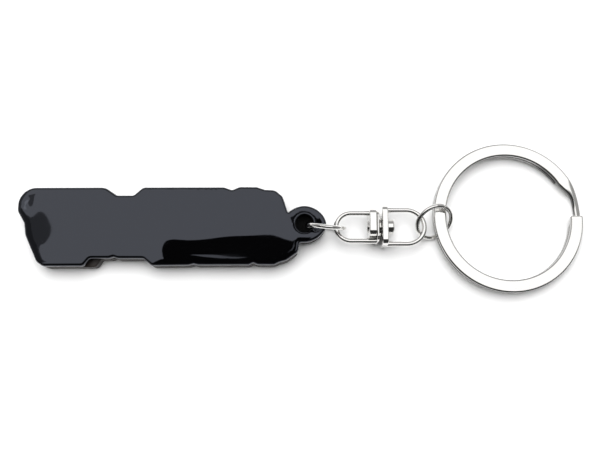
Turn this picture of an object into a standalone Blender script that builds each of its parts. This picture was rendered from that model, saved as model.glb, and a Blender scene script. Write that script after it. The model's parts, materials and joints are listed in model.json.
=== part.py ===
"""Souvenir keychain, lying on its front.

A two-layer pendant hangs by a jump ring from a riveted swivel, and a second jump ring joins the
swivel to a flat split ring. +X runs from the pendant to the split ring, +Z is up, and the origin is
the middle of the object's footprint, on the surface that it lies on.

Shapes are drawn in millimetres and brought to metres once, when each becomes a mesh.
"""

import math

import bmesh
import bpy
from mathutils import Matrix, Vector

MM = 0.001
WELD = 1e-6

# How meshes are cut and finished: a cutter's overrun in mm, angles in degrees, and the most of a
# side that one corner's arc takes.
CUT_REACH = 1.0
SHARP_ANGLE = 35.0
BEVEL_ANGLE = 50.0
BEVEL_SEGMENTS = 2
ARC_STEP = 15.0
FLAT_ANGLE = 1.0
SIDE_SHARE = 0.48

# Split ring: two flat turns of strip, its left side held up by the jump ring's wire.
SPLIT_OUTER_RADIUS = 15.0
SPLIT_BAND = 2.45
SPLIT_TURN_HEIGHT = 0.95
SPLIT_TURN_GAP = 0.10
SPLIT_LIFT = 1.5
SPLIT_RIGHT_EDGE = 55.9
SPLIT_EDGE_CHAMFER = 0.20
FREE_END_ANGLE = 1.5
JOGGLE_TOP_ANGLE = 33.0
JOGGLE_FOOT_ANGLE = 3.0
JOGGLE_NARROWING = 1.0
JOGGLE_EDGE_CHAMFER = 0.42

# How far through the joggle the strip is narrowest, and how far past it the full width is back.
JOGGLE_NARROWS_BY = 0.6
JOGGLE_WIDENS_BY = 0.4

# Stations along the strip: how many on each stretch, how far the fine stretch reaches past the
# joggle at either side, and the opening left before the lower free end, in degrees.
TOP_TURN_STATIONS = 66
JOGGLE_STATIONS = 24
LOWER_TURN_STATIONS = 64
JOGGLE_LEAD = 3.0
JOGGLE_SETTLING = 12.0
LOWER_END_GAP = 2.0

# Jump rings: the same round wire and the same size, each cut through at its joint.
JUMP_RADIUS = 3.65
JUMP_WIRE_RADIUS = 0.425
JUMP_JOINT_GAP = 0.16
JUMP_POINTS = 72
WIRE_SECTION_FINENESS = 3

# The chain's own line, along X.
CHAIN_Y = -2.13
PENDANT_RING_SPOT = (4.7, -2.19)
PENDANT_RING_HEADING = -6.0
PENDANT_RING_LEAN = 11.4
PENDANT_RING_JOINT_ANGLE = -14.0
KEY_RING_CENTRE = (26.09, -1.13, 3.045)
KEY_RING_HEADING = 22.8
KEY_RING_TILT = 45.8
KEY_RING_JOINT_ANGLE = 46.0

# Swivel: two bent loops on one rivet.
SWIVEL_AXIS_Z = 3.0
LOOP_WIRE_RADIUS = 0.5
BOW_STEPS = 28
PLATE_HALF_DEPTH = 2.95
PLATE_CORNER = 1.2
PLATE_EDGE_BEVEL = 0.15
PENDANT_LOOP_BOW_X = 6.75
PENDANT_LOOP_SHOULDER_X = 9.7
PENDANT_LOOP_HALF_WIDTH = 2.77
INNER_TAB_X = (13.10, 14.57)
INNER_TAB_SPAN = (-2.12, 3.28)
OUTER_TAB_X = (14.50, 14.95)
OUTER_TAB_SPAN = (-3.25, 2.90)
KEY_PLATE_X = (15.55, 16.73)
KEY_PLATE_SPAN = (-3.90, 3.90)
KEY_LOOP_SHOULDER_X = 20.6
KEY_LOOP_BOW_X = 24.1
KEY_LOOP_HALF_WIDTH = 3.38
RIVET_SHANK_RADIUS = 0.70
RIVET_HOLE_RADIUS = 0.78
RIVET_COLLAR_RADIUS = 1.90
RIVET_HEAD_RADIUS = 1.54
RIVET_TAIL_RADIUS = 1.20
RIVET_CLEARANCE = 0.05
RIVET_HEAD_LENGTH = 1.30
RIVET_TAIL_LENGTH = 0.30
RIVET_TAIL_RIM = 0.10
RIVET_TAIL_SLOPE = 0.30
RIVET_HEAD_ROUND = 0.34
RIVET_HEAD_ARCS = 4
RIVET_STEPS = 40

# Pendant: a glossy back plate over a relief layer, glued face to face.
RELIEF_TOP = 2.22
BACK_BOTTOM = 2.35
BACK_TOP = 4.20
BACK_EDGE_ROUND = 0.50
RELIEF_EDGE_ROUND = 0.20
RELIEF_DEPTH = 0.60
LUG_CENTRE = (0.50, -1.66)
LUG_HALF_LENGTH = 4.28
LUG_HALF_WIDTH = 3.66
LUG_POWER = 1.85
LUG_ARC_START = 132.0
LUG_ARC_END = -92.0
LUG_ARC_STEPS = 30
LUG_HOLE_CENTRE = (0.50, -1.60)
LUG_HOLE_RADIUS = 1.75
LUG_HOLE_CHAMFER = 0.28
LUG_HOLE_STEPS = 48

# Outline corners as (x, y, corner radius), clockwise from the round nose at the top left.
NOSE = [(-55.92, 3.08, 3.4), (-54.98, 4.70, 3.4), (-53.36, 5.66, 3.4)]
TOP_EDGE = [
    (-38.9, 5.71, 2.4),
    (-36.5, 4.09, 0.9),
    (-33.2, 4.09, 0.9),
    (-31.4, 5.73, 1.5),
    (-15.4, 5.76, 1.2),
    (-13.8, 5.18, 0.8),
    (-12.3, 5.83, 1.2),
    (-8.9, 5.81, 1.4),
    (-7.3, 5.26, 0.9),
    (-5.3, 5.16, 1.5),
    (-3.8, 3.9, 1.5),
]
LUG_UPPER_ROOT = [(-2.72, 0.62, 0.35)]
LUG_LOWER_ROOT = [(-0.40, -5.36, 0.30)]
HEEL = [
    (-0.75, -7.25, 1.3),
    (-3.0, -8.85, 1.0),
    (-4.4, -9.25, 0.6),
    (-5.4, -9.74, 0.8),
]
BOTTOM_EDGE = [
    (-8.6, -9.71, 0.8),
    (-9.45, -9.32, 0.4),
    (-10.3, -9.74, 0.8),
    (-20.1, -9.76, 0.8),
    (-21.0, -9.56, 0.4),
    (-22.0, -9.82, 0.8),
    (-29.1, -9.91, 1.1),
    (-30.8, -8.53, 0.9),
    (-35.7, -8.53, 0.8),
    (-36.6, -8.24, 0.4),
    (-37.5, -8.51, 0.8),
]
BACK_NOTCH_END = [(-41.2, -8.50, 0.9), (-42.4, -10.00, 1.1)]
RELIEF_NOTCH_END = [(-39.35, -8.50, 0.4), (-40.35, -9.98, 0.9)]
LEFT_END = [
    (-50.2, -10.03, 1.5),
    (-51.55, -9.1, 1.8),
    (-54.05, -3.9, 2.5),
    (-54.45, -1.45, 1.0),
    (-55.88, 0.9, 1.5),
]
RELIEF_LUG_SIDE = [(-3.0, 1.20, 0.8), (-1.0, -5.20, 0.8)]
TONGUE_LOW = 1.55
TONGUE_HIGH = 2.15
TONGUE_EDGE_ROUND = 0.15
TONGUE_ARC_START = 120.0
TONGUE_ROOT = [(-5.0, -4.6, 0.5), (-5.0, -1.0, 0.5)]
TONGUE_SLOT = (0.90, -2.09, 2.80, -0.93)
TONGUE_SLOT_CORNER = 0.5
RELIEF_POCKET = (-50.3, -7.2, -4.6, 3.0)
RELIEF_POCKET_CORNER = 1.6

# Raised panels on the front as (start, width, margin to the pocket's long sides).
RELIEF_PANELS = [(-48.3, 8.5, 1.5), (-37.3, 6.0, 2.3), (-28.8, 12.5, 1.3), (-13.8, 7.4, 1.9)]
RELIEF_PANEL_CORNER = 1.0


def clear_scene():
    for obj in list(bpy.data.objects):
        bpy.data.objects.remove(obj, do_unlink=True)


def new_collection(name, hidden=False):
    collection = bpy.data.collections.new(name)
    collection.hide_render = hidden
    bpy.context.scene.collection.children.link(collection)
    return collection


def material(name, colour, roughness, metallic):
    made = bpy.data.materials.new(name)
    made.use_nodes = True
    shader = made.node_tree.nodes["Principled BSDF"]
    shader.inputs["Base Color"].default_value = (*colour, 1.0)
    shader.inputs["Roughness"].default_value = roughness
    shader.inputs["Metallic"].default_value = metallic
    made.diffuse_color = (*colour, 1.0)
    return made


def black_gloss():
    return material("black_gloss_lacquer", (0.006, 0.006, 0.007), 0.06, 0.0)


def brown_moulding():
    return material("dark_brown_moulding", (0.022, 0.018, 0.016), 0.40, 0.0)


def bright_plate():
    return material("bright_nickel_plate", (0.86, 0.86, 0.85), 0.12, 1.0)


def place(obj, collection, finish):
    """Puts a finished object in its collection, smooth but sharp at its real corners."""
    obj.data.materials.clear()
    obj.data.materials.append(finish)
    obj.data.shade_smooth()
    obj.data.set_sharp_from_angle(angle=math.radians(SHARP_ANGLE))
    collection.objects.link(obj)
    return obj


def helper(obj, collection):
    """Puts a cutter or a shape that is joined to another in the hidden collection."""
    obj.hide_render = True
    obj.display_type = "WIRE"
    collection.objects.link(obj)
    return obj


def arc_points(corner, before, after, radius):
    """The round stretch that a corner gets between the two straight sides that meet there."""
    back = (before - corner).normalized()
    ahead = (after - corner).normalized()
    half = math.acos(max(-1.0, min(1.0, back.dot(ahead)))) / 2.0
    reach = radius / math.tan(half)
    reach = min(reach, SIDE_SHARE * (before - corner).length, SIDE_SHARE * (after - corner).length)
    radius = reach * math.tan(half)
    centre = corner + (back + ahead).normalized() * radius / math.sin(half)
    start = corner + back * reach - centre
    end = corner + ahead * reach - centre
    turn = math.copysign(math.pi - 2.0 * half, start.cross(end))
    steps = max(1, math.ceil(abs(turn) / math.radians(ARC_STEP)))
    points = []
    for i in range(steps + 1):
        angle = turn * i / steps
        spin = Matrix.Rotation(angle, 2)
        points.append(centre + spin @ start)
    return points


def rounded_outline(corners):
    """A closed outline whose corners, given as (x, y, radius), are arcs."""
    spots = [Vector(corner[:2]) for corner in corners]
    points = []
    for i, corner in enumerate(corners):
        if corner[2] <= 0.0:
            points.append(spots[i])
            continue
        points += arc_points(spots[i], spots[i - 1], spots[(i + 1) % len(spots)], corner[2])
    return points


def rounded_rectangle(low_x, low_y, high_x, high_y, corner):
    spots = ((low_x, low_y), (low_x, high_y), (high_x, high_y), (high_x, low_y))
    return rounded_outline([(x, y, corner) for x, y in spots])


def mesh_from_curve(curve_object):
    """The curve's own surface as a mesh object in metres, with its caps welded on."""
    bpy.context.scene.collection.objects.link(curve_object)
    graph = bpy.context.evaluated_depsgraph_get()
    mesh = bpy.data.meshes.new_from_object(curve_object.evaluated_get(graph))
    mesh.transform(Matrix.Scale(MM, 4))
    shape = bmesh.new()
    shape.from_mesh(mesh)
    bmesh.ops.remove_doubles(shape, verts=shape.verts, dist=WELD)
    bmesh.ops.recalc_face_normals(shape, faces=shape.faces)
    shape.to_mesh(mesh)
    shape.free()
    name = curve_object.name
    bpy.data.objects.remove(curve_object, do_unlink=True)
    return bpy.data.objects.new(name, mesh)


def add_spline(curve, points, cyclic):
    spline = curve.splines.new("POLY")
    spline.points.add(len(points) - 1)
    for target, point in zip(spline.points, points):
        target.co = (*point, 0.0, 1.0) if len(point) == 2 else (*point, 1.0)
    spline.use_cyclic_u = cyclic


def flat_solid(name, outlines, low, high):
    """A slab between two heights. An outline inside another is a hole, or an island in a hole."""
    curve = bpy.data.curves.new(name, "CURVE")
    curve.dimensions = "2D"
    curve.fill_mode = "BOTH"
    curve.extrude = (high - low) / 2.0
    for outline in outlines:
        add_spline(curve, outline, True)
    obj = mesh_from_curve(bpy.data.objects.new(name, curve))
    obj.data.transform(Matrix.Translation((0.0, 0.0, (low + high) / 2.0 * MM)))
    if len(outlines) == 1:
        make_caps_whole(obj.data)
    return obj


def make_caps_whole(mesh):
    """Each cap becomes one face, so that a bevel runs evenly along its rim."""
    shape = bmesh.new()
    shape.from_mesh(mesh)
    bmesh.ops.dissolve_limit(
        shape, angle_limit=math.radians(FLAT_ANGLE), verts=shape.verts, edges=shape.edges
    )
    shape.to_mesh(mesh)
    shape.free()


def wire(name, points, radius):
    """Round wire along a path, with closed ends."""
    curve = bpy.data.curves.new(name, "CURVE")
    curve.dimensions = "3D"
    curve.bevel_depth = radius
    curve.bevel_resolution = WIRE_SECTION_FINENESS
    curve.use_fill_caps = True
    add_spline(curve, points, False)
    return mesh_from_curve(bpy.data.objects.new(name, curve))


def move_origin(obj, point):
    """Sets the object's origin to a point, in millimetres, and leaves its shape where it is."""
    offset = Vector(point) * MM
    obj.data.transform(Matrix.Translation(-offset))
    obj.location = offset
    return obj


def bevel(obj, width):
    modifier = obj.modifiers.new("edge_round", "BEVEL")
    modifier.width = width * MM
    modifier.segments = BEVEL_SEGMENTS
    modifier.limit_method = "ANGLE"
    modifier.angle_limit = math.radians(BEVEL_ANGLE)


def combine(obj, other, operation):
    modifier = obj.modifiers.new(operation.lower() + "_" + other.name, "BOOLEAN")
    modifier.operation = operation
    modifier.object = other


def lug_arc(first_angle):
    """The lug's oval end, from its upper left, over the right, to straight down."""
    points = []
    for i in range(LUG_ARC_STEPS + 1):
        share = i / LUG_ARC_STEPS
        angle = math.radians(first_angle + (LUG_ARC_END - first_angle) * share)
        across = math.copysign(abs(math.cos(angle)) ** (2.0 / LUG_POWER), math.cos(angle))
        along = math.copysign(abs(math.sin(angle)) ** (2.0 / LUG_POWER), math.sin(angle))
        x = LUG_CENTRE[0] + LUG_HALF_LENGTH * across
        y = LUG_CENTRE[1] + LUG_HALF_WIDTH * along
        points.append((x, y, 0.0))
    return points


def back_outline():
    body = NOSE + TOP_EDGE + LUG_UPPER_ROOT + lug_arc(LUG_ARC_START) + LUG_LOWER_ROOT
    return rounded_outline(body + HEEL + BOTTOM_EDGE + BACK_NOTCH_END + LEFT_END)


def relief_outline():
    body = NOSE + TOP_EDGE + RELIEF_LUG_SIDE + HEEL
    return rounded_outline(body + BOTTOM_EDGE + RELIEF_NOTCH_END + LEFT_END)


def hole_cutter():
    """A straight hole that opens into a cone at both faces of the lug."""
    wide = LUG_HOLE_RADIUS + LUG_HOLE_CHAMFER + CUT_REACH
    profile = [
        (0.0, BACK_TOP + CUT_REACH),
        (wide, BACK_TOP + CUT_REACH),
        (LUG_HOLE_RADIUS, BACK_TOP - LUG_HOLE_CHAMFER),
        (LUG_HOLE_RADIUS, BACK_BOTTOM + LUG_HOLE_CHAMFER),
        (wide, BACK_BOTTOM - CUT_REACH),
        (0.0, BACK_BOTTOM - CUT_REACH),
    ]
    cutter = turned("lug_hole_cutter", profile, LUG_HOLE_STEPS)
    cutter.location = (LUG_HOLE_CENTRE[0] * MM, LUG_HOLE_CENTRE[1] * MM, 0.0)
    return cutter


def turned(name, profile, steps):
    """A shape turned about Z from (radius, height) points that run from its top to its bottom."""
    mesh = bpy.data.meshes.new(name)
    points = [(radius * MM, 0.0, height * MM) for radius, height in profile]
    edges = [(i, i + 1) for i in range(len(points) - 1)]
    mesh.from_pydata(points, edges, [])
    obj = bpy.data.objects.new(name, mesh)
    screw = obj.modifiers.new("turn", "SCREW")
    screw.steps = steps
    screw.render_steps = steps
    screw.use_merge_vertices = True
    screw.merge_threshold = WELD
    return obj


def build_back_plate(parts, cutters, finish):
    plate = flat_solid("pendant_back_plate", [back_outline()], BACK_BOTTOM, BACK_TOP)
    bevel(plate, BACK_EDGE_ROUND)
    combine(plate, helper(hole_cutter(), cutters), "DIFFERENCE")
    place(plate, parts, finish)


def build_front_relief(parts, cutters, finish):
    """The layer that the pendant lies on: a rim and plain raised panels around a shallow pocket.

    A thin tongue runs on under the lug, with a slot that the jump ring passes through.
    """
    relief = flat_solid("pendant_front_relief", [relief_outline()], 0.0, RELIEF_TOP)
    bevel(relief, RELIEF_EDGE_ROUND)
    tongue_outline = rounded_outline(TONGUE_ROOT + lug_arc(TONGUE_ARC_START))
    tongue = flat_solid("relief_tongue", [tongue_outline], TONGUE_LOW, TONGUE_HIGH)
    bevel(tongue, TONGUE_EDGE_ROUND)
    combine(relief, helper(tongue, cutters), "UNION")
    slot_outline = rounded_rectangle(*TONGUE_SLOT, TONGUE_SLOT_CORNER)
    slot_low, slot_high = TONGUE_LOW - CUT_REACH, TONGUE_HIGH + CUT_REACH
    slot = flat_solid("tongue_slot_cutter", [slot_outline], slot_low, slot_high)
    combine(relief, helper(slot, cutters), "DIFFERENCE")
    low_x, low_y, high_x, high_y = RELIEF_POCKET
    outlines = [rounded_rectangle(low_x, low_y, high_x, high_y, RELIEF_POCKET_CORNER)]
    for start, width, margin in RELIEF_PANELS:
        sides = (start, low_y + margin, start + width, high_y - margin)
        outlines.append(rounded_rectangle(*sides, RELIEF_PANEL_CORNER))
    pocket = flat_solid("relief_pocket_cutter", outlines, -CUT_REACH, RELIEF_DEPTH)
    combine(relief, helper(pocket, cutters), "DIFFERENCE")
    place(relief, parts, finish)


def ring_points(centre, first, second, joint_angle):
    """Points round a cut ring, from one side of its joint to the other."""
    half_gap = JUMP_JOINT_GAP / 2.0 / JUMP_RADIUS
    start = math.radians(joint_angle) + half_gap
    sweep = 2.0 * math.pi - 2.0 * half_gap
    points = []
    for i in range(JUMP_POINTS + 1):
        angle = start + sweep * i / JUMP_POINTS
        across = first * math.cos(angle) + second * math.sin(angle)
        points.append(centre + across * JUMP_RADIUS)
    return points


def ring_plane(heading, tilt):
    """Two directions in a ring's plane: level along its heading, and rising sideways by its tilt."""
    heading = math.radians(heading)
    tilt = math.radians(tilt)
    level = Vector((math.cos(heading), math.sin(heading), 0.0))
    side = Vector((-math.sin(heading), math.cos(heading), 0.0))
    return level, side * math.cos(tilt) + Vector((0.0, 0.0, math.sin(tilt)))


def pendant_ring_frame():
    """The ring's centre and plane: it stands on its rim and leans over."""
    level, rising = ring_plane(PENDANT_RING_HEADING, 90.0 + PENDANT_RING_LEAN)
    height = JUMP_RADIUS * rising.z + JUMP_WIRE_RADIUS
    return Vector((*PENDANT_RING_SPOT, height)), level, rising


def pendant_loop_hinge():
    """Where the pendant ring's wire crosses the swivel's plane, inside the pendant loop."""
    centre, level, rising = pendant_ring_frame()
    drop = (SWIVEL_AXIS_Z - centre.z) / rising.z
    return centre + level * math.sqrt(JUMP_RADIUS**2 - drop**2) + rising * drop


def build_pendant_jump_ring(parts, finish):
    centre, level, rising = pendant_ring_frame()
    points = ring_points(centre, level, rising, PENDANT_RING_JOINT_ANGLE)
    ring = wire("pendant_jump_ring", points, JUMP_WIRE_RADIUS)
    place(move_origin(ring, centre), parts, finish)


def build_key_jump_ring(parts, finish):
    level, rising = ring_plane(KEY_RING_HEADING, KEY_RING_TILT)
    points = ring_points(Vector(KEY_RING_CENTRE), level, rising, KEY_RING_JOINT_ANGLE)
    ring = wire("key_jump_ring", points, JUMP_WIRE_RADIUS)
    bow = (KEY_LOOP_BOW_X, CHAIN_Y, SWIVEL_AXIS_Z)
    place(move_origin(ring, bow), parts, finish)


def loop_wire(name, bow_x, shoulder_x, half_width, upper_end_x, lower_end_x):
    """Wire from the upper arm's end, round an oval bow, to the lower arm's end."""
    points = [(upper_end_x, CHAIN_Y + half_width, SWIVEL_AXIS_Z)]
    for i in range(BOW_STEPS + 1):
        angle = math.pi * (0.5 - i / BOW_STEPS)
        x = shoulder_x + (bow_x - shoulder_x) * math.cos(angle)
        y = CHAIN_Y + half_width * math.sin(angle)
        points.append((x, y, SWIVEL_AXIS_Z))
    points.append((lower_end_x, CHAIN_Y - half_width, SWIVEL_AXIS_Z))
    return wire(name, points, LOOP_WIRE_RADIUS)


def end_plate(name, span_x, span_y):
    """A flat plate across the chain, drawn in the ground plane and then stood up."""
    low, high = span_y
    outline = rounded_rectangle(-PLATE_HALF_DEPTH, low, PLATE_HALF_DEPTH, high, PLATE_CORNER)
    plate = flat_solid(name, [outline], 0.0, span_x[1] - span_x[0])
    plate.data.transform(Matrix.Rotation(math.radians(90.0), 4, "Y"))
    place_at = Vector((span_x[0], CHAIN_Y, SWIVEL_AXIS_Z)) * MM
    plate.data.transform(Matrix.Translation(place_at))
    bevel(plate, PLATE_EDGE_BEVEL)
    return plate


def rivet_hole_cutter(name, low_x, high_x):
    length = (high_x - low_x + 2.0 * CUT_REACH) * MM
    shape = bmesh.new()
    radius = RIVET_HOLE_RADIUS * MM
    bmesh.ops.create_cone(
        shape, cap_ends=True, segments=RIVET_STEPS, radius1=radius, radius2=radius, depth=length
    )
    shape.transform(Matrix.Rotation(math.radians(90.0), 4, "Y"))
    middle = Vector(((low_x + high_x) / 2.0, CHAIN_Y, SWIVEL_AXIS_Z)) * MM
    shape.transform(Matrix.Translation(middle))
    mesh = bpy.data.meshes.new(name)
    shape.to_mesh(mesh)
    shape.free()
    return bpy.data.objects.new(name, mesh)


def build_pendant_loop(parts, cutters, finish):
    """One bent strap: its two ends overlap as tabs, and the rivet goes through both."""
    loop = end_plate("swivel_pendant_loop", INNER_TAB_X, INNER_TAB_SPAN)
    outer_tab = end_plate("outer_tab", OUTER_TAB_X, OUTER_TAB_SPAN)
    bow = loop_wire(
        "pendant_loop_bow",
        PENDANT_LOOP_BOW_X,
        PENDANT_LOOP_SHOULDER_X,
        PENDANT_LOOP_HALF_WIDTH,
        sum(INNER_TAB_X) / 2.0,
        sum(OUTER_TAB_X) / 2.0,
    )
    hole = rivet_hole_cutter("pendant_loop_hole", INNER_TAB_X[0], OUTER_TAB_X[1])
    combine(loop, helper(outer_tab, cutters), "UNION")
    combine(loop, helper(bow, cutters), "UNION")
    combine(loop, helper(hole, cutters), "DIFFERENCE")
    place(move_origin(loop, pendant_loop_hinge()), parts, finish)


def build_key_loop(parts, cutters, finish):
    loop = end_plate("swivel_key_loop", KEY_PLATE_X, KEY_PLATE_SPAN)
    middle = sum(KEY_PLATE_X) / 2.0
    bow = loop_wire(
        "key_loop_bow", KEY_LOOP_BOW_X, KEY_LOOP_SHOULDER_X, KEY_LOOP_HALF_WIDTH, middle, middle
    )
    hole = rivet_hole_cutter("key_loop_hole", *KEY_PLATE_X)
    combine(loop, helper(bow, cutters), "UNION")
    combine(loop, helper(hole, cutters), "DIFFERENCE")
    place(move_origin(loop, (middle, CHAIN_Y, SWIVEL_AXIS_Z)), parts, finish)


def build_rivet(parts, finish):
    """Peened tail, shank, collar between the loops, and a round head inside the key loop."""
    tail_face = INNER_TAB_X[0] - RIVET_CLEARANCE
    collar_low = OUTER_TAB_X[1] + RIVET_CLEARANCE
    collar_high = KEY_PLATE_X[0] - RIVET_CLEARANCE
    head_face = KEY_PLATE_X[1] + RIVET_CLEARANCE
    head_top = head_face + RIVET_HEAD_LENGTH
    tail_top = tail_face - RIVET_TAIL_LENGTH
    profile = [(0.0, head_top)]
    for i in range(RIVET_HEAD_ARCS + 1):
        angle = math.pi / 2.0 * (1.0 - i / RIVET_HEAD_ARCS)
        radius = RIVET_HEAD_RADIUS - RIVET_HEAD_ROUND * (1.0 - math.cos(angle))
        profile.append((radius, head_top - RIVET_HEAD_ROUND * (1.0 - math.sin(angle))))
    profile += [
        (RIVET_HEAD_RADIUS, head_face),
        (RIVET_SHANK_RADIUS, head_face),
        (RIVET_SHANK_RADIUS, collar_high),
        (RIVET_COLLAR_RADIUS, collar_high),
        (RIVET_COLLAR_RADIUS, collar_low),
        (RIVET_SHANK_RADIUS, collar_low),
        (RIVET_SHANK_RADIUS, tail_face),
        (RIVET_TAIL_RADIUS, tail_face),
        (RIVET_TAIL_RADIUS, tail_face - RIVET_TAIL_RIM),
        (RIVET_TAIL_RADIUS - RIVET_TAIL_SLOPE, tail_top),
        (0.0, tail_top),
    ]
    rivet = turned("swivel_rivet", profile, RIVET_STEPS)
    rivet.rotation_euler = (0.0, math.radians(90.0), 0.0)
    rivet.location = (0.0, CHAIN_Y * MM, SWIVEL_AXIS_Z * MM)
    place(rivet, parts, finish)


def ease(value):
    """0 to 1 with level ends."""
    value = max(0.0, min(1.0, value))
    return value * value * (3.0 - 2.0 * value)


def split_ring_section(turned_by):
    """The strip's section, as (radius, height) corners, after it has turned by an angle in degrees.

    The strip starts on top at its free end, steps down in the joggle, and runs on underneath.
    """
    start = 360.0 - JOGGLE_TOP_ANGLE
    end = 360.0 - JOGGLE_FOOT_ANGLE
    through = (turned_by - start) / (end - start)
    low = (SPLIT_TURN_HEIGHT + SPLIT_TURN_GAP) * (1.0 - ease(through))
    narrowed = ease(through / JOGGLE_NARROWS_BY)
    pinch = narrowed * (1.0 - ease((through - 1.0) / JOGGLE_WIDENS_BY))
    inner = SPLIT_OUTER_RADIUS - SPLIT_BAND + JOGGLE_NARROWING * pinch
    outer = SPLIT_OUTER_RADIUS
    high = low + SPLIT_TURN_HEIGHT
    edge = SPLIT_EDGE_CHAMFER
    top = edge + (JOGGLE_EDGE_CHAMFER - edge) * pinch
    return [
        (inner + edge, low),
        (outer - edge, low),
        (outer, low + edge),
        (outer, high - top),
        (outer - top, high),
        (inner + edge, high),
        (inner, high - edge),
        (inner, low + edge),
    ]


def split_ring_stations():
    """Angles along the strip: wide steps on the plain turns and fine ones through the joggle."""
    first = -FREE_END_ANGLE
    joggle = 360.0 - JOGGLE_TOP_ANGLE - JOGGLE_LEAD
    settled = 360.0 + JOGGLE_SETTLING
    last = 720.0 - JOGGLE_TOP_ANGLE - LOWER_END_GAP
    stretches = (
        (first, joggle, TOP_TURN_STATIONS),
        (joggle, settled, JOGGLE_STATIONS),
        (settled, last, LOWER_TURN_STATIONS),
    )
    stations = []
    for low, high, count in stretches:
        stations += [low + (high - low) * i / count for i in range(count)]
    return stations + [last]


def build_split_ring(parts, finish):
    shape = bmesh.new()
    rings = []
    for turned_by in split_ring_stations():
        angle = -math.radians(turned_by)
        corners = []
        for radius, height in split_ring_section(turned_by):
            spot = (radius * math.cos(angle), radius * math.sin(angle), height)
            corners.append(shape.verts.new(Vector(spot) * MM))
        rings.append(corners)
    for before, after in zip(rings, rings[1:]):
        for i in range(len(before)):
            j = (i + 1) % len(before)
            shape.faces.new((before[i], before[j], after[j], after[i]))
    shape.faces.new(rings[0])
    shape.faces.new(rings[-1])
    bmesh.ops.recalc_face_normals(shape, faces=shape.faces)
    mesh = bpy.data.meshes.new("split_ring")
    shape.to_mesh(mesh)
    shape.free()
    ring = bpy.data.objects.new("split_ring", mesh)
    lean = math.asin(SPLIT_LIFT / (2.0 * SPLIT_OUTER_RADIUS))
    ring.rotation_euler = (0.0, lean, 0.0)
    centre_x = SPLIT_RIGHT_EDGE - SPLIT_OUTER_RADIUS * math.cos(lean)
    ring.location = (centre_x * MM, 0.0, SPLIT_OUTER_RADIUS * math.sin(lean) * MM)
    place(ring, parts, finish)


def main():
    clear_scene()
    parts = new_collection("keychain")
    cutters = new_collection("keychain_cutters", hidden=True)
    build_back_plate(parts, cutters, black_gloss())
    build_front_relief(parts, cutters, brown_moulding())
    plated = bright_plate()
    build_pendant_jump_ring(parts, plated)
    build_pendant_loop(parts, cutters, plated)
    build_rivet(parts, plated)
    build_key_loop(parts, cutters, plated)
    build_key_jump_ring(parts, plated)
    build_split_ring(parts, plated)


main()
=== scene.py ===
"""Souvenir keychain: gloss-backed pendant, jump rings, riveted swivel and flat split ring.

Every new piece is a surface worked out with numpy in millimetres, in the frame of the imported
part, and is brought to metres once, when its arrays become a mesh.
"""

import json
import math

import bmesh
import bpy
import numpy as np
from mathutils.geometry import delaunay_2d_cdt
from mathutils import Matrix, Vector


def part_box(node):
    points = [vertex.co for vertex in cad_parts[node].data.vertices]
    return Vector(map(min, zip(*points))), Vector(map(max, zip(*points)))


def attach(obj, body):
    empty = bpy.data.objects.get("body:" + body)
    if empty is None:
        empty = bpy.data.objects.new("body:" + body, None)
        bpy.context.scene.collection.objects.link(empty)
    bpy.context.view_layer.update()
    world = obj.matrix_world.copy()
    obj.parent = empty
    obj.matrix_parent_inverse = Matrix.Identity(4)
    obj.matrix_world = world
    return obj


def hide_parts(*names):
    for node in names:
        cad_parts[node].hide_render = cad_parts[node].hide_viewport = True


bl_info = {
    "name": "Souvenir Keychain",
    "version": (1, 0, 0),
    "blender": (4, 5, 0),
    "location": "3D View > Sidebar > Keychain",
    "description": "Builds the pendant, chain, swivel and split ring of a souvenir keychain",
    "category": "Add Mesh",
}

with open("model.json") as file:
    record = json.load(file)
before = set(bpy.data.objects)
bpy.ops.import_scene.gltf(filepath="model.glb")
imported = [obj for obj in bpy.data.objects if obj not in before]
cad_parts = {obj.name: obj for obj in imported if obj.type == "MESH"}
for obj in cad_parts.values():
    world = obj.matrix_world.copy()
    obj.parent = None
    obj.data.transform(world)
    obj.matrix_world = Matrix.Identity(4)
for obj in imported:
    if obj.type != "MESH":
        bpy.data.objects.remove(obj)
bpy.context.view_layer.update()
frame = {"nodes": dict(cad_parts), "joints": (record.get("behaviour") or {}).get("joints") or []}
JOINTS = {joint["name"]: joint for joint in frame["joints"]}
MM = 0.001


def joint_spot(name):
    """A joint's place in millimetres."""
    return np.array(JOINTS[name]["pos_m"]) / MM


def cad_box(node):
    """A CAD node's lowest and highest corner, in millimetres."""
    low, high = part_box(node)
    return np.array(low) / MM, np.array(high) / MM


# Heights of the pendant's layers and the chain's own line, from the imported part.
PLATE_LOW, PLATE_HIGH = (corner[2] for corner in cad_box("pendant_back_plate"))
CHAIN_Y = joint_spot("swivel_spin")[1]
SWIVEL_Z = joint_spot("swivel_spin")[2]

# Jump rings: the radius of the wire's middle line, then each ring as (heading, tilt, joint angle)
# in degrees, and where the key-side one stands.
JUMP_RADIUS = 3.65
PENDANT_RING = (-6.0, 101.4, -14.0)
KEY_RING = (22.8, 45.8, 46.0)
KEY_RING_SPOT = (26.09, -1.13)

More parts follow.
